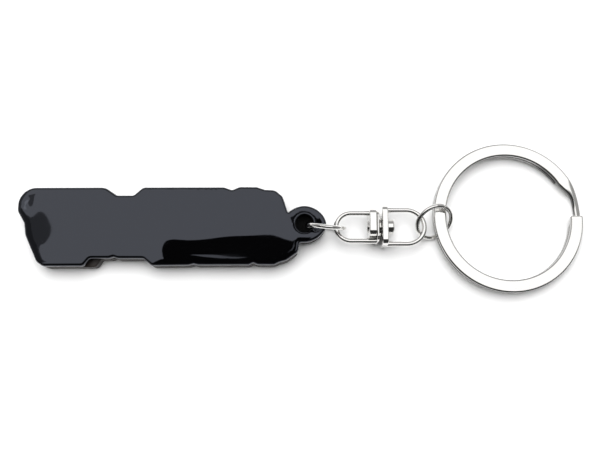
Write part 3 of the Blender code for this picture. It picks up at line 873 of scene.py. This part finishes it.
class KEYCHAIN_OT_jump_rings(bpy.types.Operator):
    """Builds the two jump rings from round wire"""

    bl_idname = "keychain.jump_rings"
    bl_label = "Jump rings"

    def execute(self, context):
        sizes = context.scene.keychain_sizes
        wire, gap = sizes.jump_wire, sizes.jump_gap
        plating = context.scene.keychain_finishes.plating
        finish = bright_plating("jump_ring_nickel", plating, True, 0.08)
        pendant_spot = joint_spot("pendant_ring_slide_round")
        low, high = cad_box("key_jump_ring")
        key_spot = np.array((*KEY_RING_SPOT, (low[2] + high[2]) / 2.0))
        rings = (
            ("pendant_side_ring", "pendant_ring", "pendant_jump_ring", pendant_spot, PENDANT_RING),
            ("key_side_ring", "key_side_ring", "key_jump_ring", key_spot, KEY_RING),
        )
        lengths = (2.0 * math.pi * JUMP_RADIUS, 2.0 * math.pi * wire)
        for name, body, node, centre, (heading, tilt, joint) in rings:
            plane = ring_plane(heading, tilt)
            grid = cut_ring(centre, *plane, JUMP_RADIUS, wire, gap, joint)
            obj = new_piece(name, *swept([grid], [lengths]))
            finish_piece(obj, finish, body, "bright_plate", node)
        return {"FINISHED"}


def bow(shoulder, tip, half_width, upper_end, lower_end, wire):
    """An arm, half an ellipse and an arm, in the swivel's plane.

    The half ellipse is (shoulder + reach cos a, half width sin a), with a from 90 to -90 degrees,
    and the wire swells a little where an arm meets its plate.
    """
    angle = np.radians(np.linspace(90.0, -90.0, 90))
    curve_x = shoulder + (tip - shoulder) * np.cos(angle)
    curve_y = half_width * np.sin(angle)
    arm = np.linspace(0.0, 1.0, 22)[:-1]
    upper_x = upper_end + (shoulder - upper_end) * arm
    lower_x = lower_end + (shoulder - lower_end) * arm[::-1]
    x = np.concatenate([upper_x, curve_x, lower_x])
    y = CHAIN_Y + np.concatenate([upper_x * 0.0 + half_width, curve_y, lower_x * 0.0 - half_width])
    path = np.stack([x, y, np.full(len(x), SWIVEL_Z)], axis=-1)
    from_plate = np.minimum(np.abs(x - upper_end), np.abs(x - lower_end))
    swell = wire * WIRE_SWELL * (1.0 - ease((from_plate - SWELL_KEPT) / SWELL_FADE))
    return tube(path, wire + swell, (0.0, 0.0, 1.0), 26, 0.05)


def standing_plate(low_x, high_x, low_y, high_y):
    """A pierced plate with rounded edges, drawn flat as (height, across) and then stood up."""
    outline = rounded_rectangle(
        -PLATE_HALF_DEPTH, PLATE_HALF_DEPTH, low_y, high_y, PLATE_CORNER
    )
    hole = circle(np.zeros(2), RIVET_HOLE_RADIUS, 40, inward=True)
    edge = min(PLATE_EDGE, (high_x - low_x) * PLATE_EDGE_SHARE)
    sides = edge_profile(low_x, high_x, edge, steps=6)
    hole_sides = edge_profile(low_x, high_x, RIVET_HOLE_EDGE, steps=3)
    points, faces = slab(outline, [hole], sides, hole_sides)
    stood = np.stack([points[:, 2], CHAIN_Y + points[:, 1], SWIVEL_Z + points[:, 0]], axis=-1)
    return stood, faces


def build_loop(name, plates, wire_grid, finish, body, node):
    """One swivel loop: its bow of wire and its standing plates, as one piece."""
    points, faces, _ = swept([wire_grid], [(1.0, 1.0)])
    all_points, all_faces, first = [points], list(faces), len(points)
    for plate in plates:
        made, plate_faces = standing_plate(*plate)
        all_points.append(made)
        all_faces += [face + first for face in plate_faces]
        first += len(made)
    obj = new_piece(name, np.concatenate(all_points), all_faces)
    finish_piece(obj, finish, body, "bright_plate", node)


def rivet_profile():
    """Rows of (radius, x) from the head's crown to the tail's face.

    Head and tail round over by quarter circles, (r cos a, r sin a) about their own centres, and
    the collar's rim is half an ellipse.
    """
    tail, head = INNER_TAB[0] - RIVET_CLEARANCE, KEY_PLATE[1] + RIVET_CLEARANCE
    collar_low, collar_high = OUTER_TAB[1] + RIVET_CLEARANCE, KEY_PLATE[0] - RIVET_CLEARANCE
    middle, half = (collar_low + collar_high) / 2.0, (collar_high - collar_low) / 2.0
    crown = head + HEAD_LENGTH
    angle = np.linspace(math.pi / 2.0, 0.0, 10)
    out, up = HEAD_ROUND * np.cos(angle), HEAD_ROUND * np.sin(angle)
    dome = np.stack([HEAD_RADIUS - HEAD_ROUND + out, crown - HEAD_ROUND + up], -1)
    turn = np.linspace(math.pi / 2.0, -math.pi / 2.0, 13)
    reach = COLLAR_RADIUS - COLLAR_ROUND + COLLAR_ROUND * np.cos(turn)
    collar = np.stack([reach, middle + half * np.sin(turn)], -1)
    under_head = [
        (HEAD_RADIUS, head + RIVET_BREAK),
        (HEAD_RADIUS - RIVET_BREAK, head),
        (SHANK_RADIUS, head),
        (SHANK_RADIUS, collar_high),
    ]
    over_tail = [
        (SHANK_RADIUS, collar_low),
        (SHANK_RADIUS, tail),
        (TAIL_RADIUS - RIVET_BREAK, tail),
        (TAIL_RADIUS, tail - RIVET_BREAK),
    ]
    lower = np.linspace(0.0, math.pi / 2.0, 6)
    out, down = TAIL_ROUND * np.cos(lower), TAIL_ROUND * np.sin(lower)
    flat = tail - TAIL_LENGTH
    peened = np.stack([TAIL_RADIUS - TAIL_ROUND + out, flat + TAIL_ROUND - down], -1)
    rows = ([(0.0, crown)], dome, under_head, collar, over_tail, peened, [(0.0, flat)])
    return np.concatenate(rows)


class KEYCHAIN_OT_swivel(bpy.types.Operator):
    """Builds the swivel's two loops and the rivet that holds them together"""

    bl_idname = "keychain.swivel"
    bl_label = "Swivel"

    def execute(self, context):
        wire = context.scene.keychain_sizes.loop_wire
        plating = context.scene.keychain_finishes.plating
        finish = bright_plating("swivel_nickel", plating, False, 0.075)
        inner, outer = sum(INNER_TAB[:2]) / 2.0, sum(OUTER_TAB[:2]) / 2.0
        middle = sum(KEY_PLATE[:2]) / 2.0
        loops = (
            ("swivel_pendant_bow", "swivel_body", "swivel_pendant_loop"),
            ("swivel_key_bow", "swivel_eye", "swivel_key_loop"),
        )
        plates = ((INNER_TAB, OUTER_TAB), (KEY_PLATE,))
        bows = (bow(*PENDANT_BOW, inner, outer, wire), bow(*KEY_BOW, middle, middle, wire))
        for (name, body, node), parts, wire_grid in zip(loops, plates, bows):
            build_loop(name, parts, wire_grid, finish, body, node)
        grid = turned(rivet_profile())
        points, faces = grid.reshape(-1, 3), [grid_faces(*grid.shape[:2], True)]
        rivet = new_piece("swivel_pin", points + (0.0, CHAIN_Y, SWIVEL_Z), faces)
        close_poles(rivet)
        finish_piece(rivet, finish, "swivel_body", "bright_plate", "swivel_rivet")
        return {"FINISHED"}


def close_poles(obj):
    """Brings the points that share a pole together, so that the turned shape is closed."""
    shape = bmesh.new()
    shape.from_mesh(obj.data)
    bmesh.ops.remove_doubles(shape, verts=shape.verts, dist=1e-7)
    bmesh.ops.recalc_face_normals(shape, faces=shape.faces)
    shape.to_mesh(obj.data)
    shape.free()


def strip_sections(turned_by, sizes, outer):
    """The strip's rounded section at each angle turned, as (radius, height) arrays.

    It starts on top at its free end, eases down through the joggle, where its inner side moves
    out by the pinch and its outer top edge is rubbed rounder, and runs on underneath. Each edge is
    a rounded chamfer, |x / a|^n + |z / c|^n = 1, wider than it is deep. Within the
    tip's radius r of an end, at d from it, every side draws in by r - sqrt(r^2 - (r - d)^2).
    """
    through = (turned_by - JOGGLE_START) / (JOGGLE_END - JOGGLE_START)
    to_end = outer * np.radians(np.minimum(turned_by - turned_by[0], turned_by[-1] - turned_by))
    short = STRIP_TIP - np.minimum(to_end, STRIP_TIP)
    draw = STRIP_TIP - np.sqrt(STRIP_TIP**2 - short**2)
    widened = ease((through - 1.0) / JOGGLE_WIDENS_BY)
    pinch = ease(through / JOGGLE_NARROWS_BY) * (1.0 - widened)
    low = (sizes.turn_height + sizes.turn_gap) * (1.0 - ease(through)) + draw
    high = low + sizes.turn_height - 2.0 * draw
    inner = outer - sizes.band + JOGGLE_PINCH * pinch + draw
    rim = outer - draw
    edge = np.stack([sizes.band_edge - draw, sizes.band_drop - draw], axis=-1)
    edge = np.maximum(edge, 0.05)
    rubbed = edge + (np.array(JOGGLE_RUB) - edge) * pinch[:, None]
    corners = [
        (inner, low, edge, 180.0, 1.0, 1.0),
        (rim, low, edge, 270.0, -1.0, 1.0),
        (rim, high, rubbed, 0.0, -1.0, -1.0),
        (inner, high, edge, 90.0, 1.0, -1.0),
    ]
    radii, heights = [], []
    for radius, height, round_off, first, side, rise in corners:
        angle = np.radians(first + np.linspace(0.0, 90.0, 9))
        cos, sin = np.cos(angle), np.sin(angle)
        cos = np.sign(cos) * np.abs(cos) ** (2.0 / EDGE_POWER)
        sin = np.sign(sin) * np.abs(sin) ** (2.0 / EDGE_POWER)
        across, down = round_off[:, :1], round_off[:, 1:]
        radii.append((radius[:, None] + side * across) + across * cos)
        heights.append((height[:, None] + rise * down) + down * sin)
    return np.concatenate(radii, axis=1), np.concatenate(heights, axis=1)


class KEYCHAIN_OT_split_ring(bpy.types.Operator):
    """Builds the split ring: a flat strip wound twice, with its joggle and free ends"""

    bl_idname = "keychain.split_ring"
    bl_label = "Split ring"

    def execute(self, context):
        sizes = context.scene.keychain_sizes
        low, high = cad_box("split_ring")
        outer = (high[1] - low[1]) / 2.0
        ends = STRIP_TIP * (1.0 - np.cos(np.linspace(0.0, math.pi / 2.0, 7)))
        ends = np.degrees(ends / outer)
        first, last = STRIP_START + STRIP_TIP_TURN, STRIP_STOP - STRIP_TIP_TURN
        joggle, settled = JOGGLE_START - JOGGLE_LEAD, JOGGLE_END + JOGGLE_SETTLING
        turned_by = np.concatenate(
            [
                STRIP_START + ends,
                np.linspace(first, joggle, 300),
                np.linspace(joggle, settled, 110)[1:],
                np.linspace(settled, last, 280)[1:],
                STRIP_STOP - ends[::-1],
            ]
        )
        radii, heights = strip_sections(turned_by, sizes, outer)
        angle = -np.radians(turned_by)[:, None]
        flat = np.stack([radii * np.cos(angle), radii * np.sin(angle), heights], axis=-1)
        axis = np.array(JOINTS["split_ring_spin"]["axis"], float)
        lean = math.atan2(axis[0], axis[2])
        cos, sin = math.cos(lean), math.sin(lean)
        leaned = np.stack(
            [
                flat[..., 0] * cos + flat[..., 2] * sin,
                flat[..., 1],
                flat[..., 2] * cos - flat[..., 0] * sin,
            ],
            axis=-1,
        )
        centre = np.array((joint_spot("split_ring_spin")[0], 0.0, outer * sin))
        grid = leaned + centre
        lengths = (2.0 * math.pi * outer * STRIP_TURNS, 2.0 * (sizes.band + sizes.turn_height))
        obj = new_piece("flat_split_ring", *swept([grid], [lengths]))
        plating = context.scene.keychain_finishes.plating
        # This finish paints shade on the strip's side walls, darkest in the joggle.
        finish = bright_plating("split_ring_nickel", plating, True, 0.06, 0.8, lengths[1])
        finish_piece(obj, finish, "key_ring", "bright_plate", "split_ring")
        return {"FINISHED"}


# Stage ----------------------------------------------------------------------------------------

# The soft box's limits, as a direction's x and y for each unit of its height.
BOX_X = (-0.62, 0.80)
BOX_Y = (-0.20, 0.86)
BOX_BLUR = 0.06
BACKDROP = 0.95

# The panel light's own limits, measured the same way: it reaches further back and to the left.
PANEL_X = (-0.75, 0.45)
PANEL_Y = (-0.12, 1.15)
PANEL_HEIGHT = 0.6

# The floor's half side in metres, the point that the camera looks at and its sensor, in mm.
FLOOR_REACH = 3.0
CAMERA_TARGET = (-0.36, -1.58, 2.3)
SENSOR_WIDTH = 36.0

# Cards that the gloss face mirrors: (name, knots in mm on the face, height above it, glow).
STUDIO_CARDS = (
    (
        "dark_card",
        [
            (-29.2, -19.5), (-28.6, -12.0), (-27.9, -9.9), (-26.9, -8.7), (-27.0, -7.8),
            (-27.25, -6.9), (-27.1, -5.9), (-26.4, -5.0), (-25.0, -4.6), (-23.4, -4.64),
            (-20.6, -4.74), (-17.5, -4.72), (-14.5, -4.32), (-12.0, -4.04), (-8.6, -3.95),
            (-6.1, -4.05), (-4.4, -4.53), (-2.7, -5.07), (1.5, -5.7), (3.0, -9.0),
            (2.0, -19.5), (-14.0, -21.0),
        ],
        14.0,
        0.0,
    ),
    (
        "light_strip",
        [
            (-21.48, -8.0), (-19.49, -7.83), (-16.97, -7.73), (-14.03, -7.86), (-10.87, -8.22),
            (-14.02, -8.47), (-16.95, -8.39), (-19.48, -8.22),
        ],
        13.0,
        0.95,
    ),
    (
        "grey_card",
        [
            (-60.0, -1.0), (-56.5, 1.2), (-53.8, 0.15), (-52.66, -0.22), (-51.65, 0.54),
            (-50.57, 0.32), (-49.53, -0.98), (-48.85, -2.49), (-49.0, -3.99), (-49.95, -5.6),
            (-50.77, -6.1), (-50.78, -7.2), (-50.35, -8.89), (-49.42, -10.6), (-52.05, -12.5),
            (-58.0, -12.0), (-62.0, -6.0),
        ],
        14.0,
        0.33,
    ),
    (
        "left_shade",
        [
            (-58.0, 1.0), (-54.84, 0.54), (-53.94, -0.11), (-53.01, -1.2), (-52.64, -3.35),
            (-52.2, -5.07), (-51.5, -6.0), (-51.3, -7.3), (-51.1, -8.6), (-50.4, -10.6),
            (-53.5, -12.0), (-58.0, -8.0),
        ],
        13.0,
        0.16,
    ),
    (
        "nose_patch",
        [
            (-54.26, 4.25), (-53.43, 4.5), (-52.6, 4.55), (-52.7, 3.59), (-52.92, 1.95),
            (-53.43, 1.63), (-53.81, 2.39), (-53.55, 3.26),
        ],
        14.0,
        0.42,
    ),
    (
        "nose_glint",
        [
            (-54.79, 1.36), (-54.41, 1.95), (-54.57, 2.61), (-53.95, 2.94), (-53.72, 2.72),
            (-54.08, 1.84), (-53.83, 1.23),
        ],
        13.0,
        2.0,
    ),
    (
        "lug_shade",
        [
            (1.11, -1.3), (1.43, -0.59), (2.38, -0.81), (3.44, -0.44), (4.08, 0.0),
            (5.0, -0.4), (5.4, -1.63), (3.01, -1.63),
        ],
        14.0,
        0.0,
    ),
    # The next card is nearly black, and its mirror image darkens part of the lug's face.
    (
        "lug_dim_card",
        [
            (-2.39, 0.0), (-1.33, -0.18), (-0.38, 0.28), (0.79, 0.15), (1.96, -0.44),
            (1.53, -1.63), (-0.17, -1.63), (-1.54, -1.2), (-1.97, -0.81),
        ],
        13.0,
        0.05,
    ),
    (
        "lug_streak",
        [
            (-1.12, 0.54), (-0.38, 0.93), (0.79, 0.97), (0.9, 0.8), (-0.06, 0.54),
        ],
        13.0,
        0.1,
    ),
    (
        "heel_light",
        [
            (-2.37, -7.83), (-1.53, -6.35), (-1.11, -5.6), (-0.6, -5.71), (-0.75, -6.56),
            (-1.64, -7.72),
        ],
        13.0,
        0.7,
    ),
)


def studio_world(studio):
    """A soft box overhead that leans towards +Y, dim walls, a dark front and a pale backdrop.

    Each direction is divided by its height, which gives where it meets a level ceiling. The box
    is bright between two limits in x and two in y, with smooth edges.
    """
    world = bpy.data.worlds.new("studio")
    world.use_nodes = True
    tree = world.node_tree
    background = tree.nodes["Background"]
    direction = add_node(tree, "ShaderNodeTexCoord").outputs["Generated"]
    axes = add_node(tree, "ShaderNodeSeparateXYZ", {0: direction})
    height = maths(tree, "MAXIMUM", axes.outputs["Z"], 0.001)
    above = smooth_step(tree, axes.outputs["Z"], 0.05, 0.3)
    share = above
    for axis, (low, high) in (("X", BOX_X), ("Y", BOX_Y)):
        across = maths(tree, "DIVIDE", axes.outputs[axis], height)
        past_low = smooth_step(tree, across, low - BOX_BLUR, low + BOX_BLUR)
        short_of_high = smooth_step(tree, across, high + BOX_BLUR, high - BOX_BLUR)
        share = maths(tree, "MULTIPLY", share, past_low)
        share = maths(tree, "MULTIPLY", share, short_of_high)
    back = smooth_step(tree, across, BOX_Y[0] - 0.15, BOX_Y[0] + 0.05)
    dim = spread(tree, back, 0.0, 1.0, studio.surround, studio.bounce)
    lit = maths(tree, "MAXIMUM", dim, maths(tree, "MULTIPLY", share, studio.overhead))
    seen = add_node(tree, "ShaderNodeLightPath").outputs["Is Camera Ray"]
    backdrop = maths(tree, "MULTIPLY", seen, BACKDROP)
    tree.links.new(maths(tree, "MAXIMUM", lit, backdrop), background.inputs["Strength"])
    background.inputs["Color"].default_value = (1.0, 1.0, 1.0, 1.0)
    return world


def panel_light(power):
    """A rectangular panel over the object, which no reflection shows."""
    height = PANEL_HEIGHT
    data = bpy.data.lights.new("overhead_panel", "AREA")
    data.shape = "RECTANGLE"
    data.size = height * (PANEL_X[1] - PANEL_X[0])
    data.size_y = height * (PANEL_Y[1] - PANEL_Y[0])
    data.energy = power
    panel = bpy.data.objects.new("overhead_panel", data)
    panel.location = (height * sum(PANEL_X) / 2.0, height * sum(PANEL_Y) / 2.0, height)
    panel.visible_glossy = False
    panel.visible_camera = False
    bpy.context.scene.collection.objects.link(panel)


def staged(name, points, faces, material):
    """A mesh that belongs to the stage, not to the keychain."""
    mesh = bpy.data.meshes.new(name)
    mesh.from_pydata(points, [], faces)
    mesh.materials.append(material)
    obj = bpy.data.objects.new(name, mesh)
    bpy.context.scene.collection.objects.link(obj)
    return obj


def closed_curve(knots, steps=12):
    """A smooth closed line through its knots.

    Between two knots p1 and p2, with p0 before and p3 after, it is half of
    2 p1 + (p2 - p0) t + (2 p0 - 5 p1 + 4 p2 - p3) t^2 + (3 p1 - p0 - 3 p2 + p3) t^3.
    """
    p1 = np.array(knots, float)[:, None]
    p0, p2, p3 = np.roll(p1, 1, 0), np.roll(p1, -1, 0), np.roll(p1, -2, 0)
    t = np.linspace(0.0, 1.0, steps, endpoint=False)[None, :, None]
    steady, first = 2.0 * p1, (p2 - p0) * t
    second = (2.0 * p0 - 5.0 * p1 + 4.0 * p2 - p3) * t**2
    third = (3.0 * p1 - p0 - 3.0 * p2 + p3) * t**3
    return ((steady + first + second + third) / 2.0).reshape(-1, 2)


def studio_card(name, knots, height, glow):
    """A card over the pendant, seen only as its mirror image in gloss.

    The knots are where its image falls on the gloss face. From there the card lies on the line
    that the camera's view takes when the face turns it back up.
    """
    eye = np.array(bpy.context.scene.camera.location) / MM
    spots = closed_curve(knots)
    share = height / (eye[2] - PLATE_HIGH)
    flat = spots + (spots - eye[:2]) * share
    points = np.concatenate([flat, np.full((len(flat), 1), PLATE_HIGH + height)], axis=1) * MM
    made = bpy.data.materials.new(name)
    made.use_nodes = True
    tree = made.node_tree
    tree.nodes.clear()
    light = add_node(tree, "ShaderNodeEmission", {"Strength": glow})
    output = tree.nodes.new("ShaderNodeOutputMaterial")
    tree.links.new(light.outputs["Emission"], output.inputs["Surface"])
    card = staged(name, points.tolist(), [list(range(len(points)))], made)
    card.visible_camera = False
    card.visible_diffuse = False
    card.visible_shadow = False
    card.visible_transmission = False


def floor_material(colour):
    """Matt pale floor with a very slight slow change of tone."""
    made, tree, shader = new_material("pale_floor")
    tone = noise(tree, object_coordinates(tree), 12.0, 2.0)
    darker = tuple(0.985 * c for c in colour)
    tree.links.new(mix_colour(tree, tone, colour, darker), shader.inputs["Base Color"])
    shader.inputs["Roughness"].default_value = 0.85
    shader.inputs["Specular IOR Level"].default_value = 0.1
    return made


class KEYCHAIN_OT_stage(bpy.types.Operator):
    """Sets up the floor, the studio light and the camera"""

    bl_idname = "keychain.stage"
    bl_label = "Stage"

    def execute(self, context):
        scene = context.scene
        studio = scene.keychain_studio
        signs = ((-1, -1), (1, -1), (1, 1), (-1, 1))
        square = [(FLOOR_REACH * x, FLOOR_REACH * y, 0.0) for x, y in signs]
        staged("floor", square, [(0, 1, 2, 3)], floor_material(scene.keychain_finishes.floor))
        scene.world = studio_world(studio)
        panel_light(studio.panel)
        scene.view_settings.view_transform = "Standard"
        camera = bpy.data.objects.new("camera", bpy.data.cameras.new("camera"))
        camera.data.lens = studio.lens
        camera.data.sensor_width = SENSOR_WIDTH
        camera.data.clip_start = 0.01
        camera.data.clip_end = 20.0
        target = np.array(CAMERA_TARGET) * MM
        back = np.array((0.0, -math.sin(studio.tilt), math.cos(studio.tilt)))
        camera.location = target + back * studio.distance
        camera.rotation_euler = (studio.tilt, 0.0, 0.0)
        scene.collection.objects.link(camera)
        scene.camera = camera
        context.view_layer.update()
        for card in STUDIO_CARDS:
            studio_card(*card)
        return {"FINISHED"}


class KEYCHAIN_PT_panel(bpy.types.Panel):
    """Lists the keychain's operators and settings"""

    bl_idname = "KEYCHAIN_PT_panel"
    bl_label = "Souvenir Keychain"
    bl_space_type = "VIEW_3D"
    bl_region_type = "UI"
    bl_category = "Keychain"

    def draw(self, context):
        for operator in OPERATORS:
            self.layout.operator(operator.bl_idname)
        for name, kind in GROUPS.items():
            box = self.layout.box()
            for key in kind.__annotations__:
                box.prop(getattr(context.scene, name), key)


OPERATORS = (
    KEYCHAIN_OT_gloss_back,
    KEYCHAIN_OT_front_relief,
    KEYCHAIN_OT_jump_rings,
    KEYCHAIN_OT_swivel,
    KEYCHAIN_OT_split_ring,
    KEYCHAIN_OT_stage,
)
GROUPS = {
    "keychain_sizes": KeychainSizes,
    "keychain_finishes": KeychainFinishes,
    "keychain_studio": KeychainStudio,
}


def register():
    """Adds the keychain's classes, and its groups of settings on the scene."""
    for kind in (*GROUPS.values(), *OPERATORS, KEYCHAIN_PT_panel):
        bpy.utils.register_class(kind)
    for name, kind in GROUPS.items():
        setattr(bpy.types.Scene, name, bpy.props.PointerProperty(type=kind))


def unregister():
    """Takes the groups and classes away again."""
    for name in GROUPS:
        delattr(bpy.types.Scene, name)
    for kind in reversed((*GROUPS.values(), *OPERATORS, KEYCHAIN_PT_panel)):
        bpy.utils.unregister_class(kind)


def main():
    register()
    for operator in OPERATORS:
        group, name = operator.bl_idname.split(".")
        getattr(getattr(bpy.ops, group), name)()


if __name__ == "__main__":
    main()
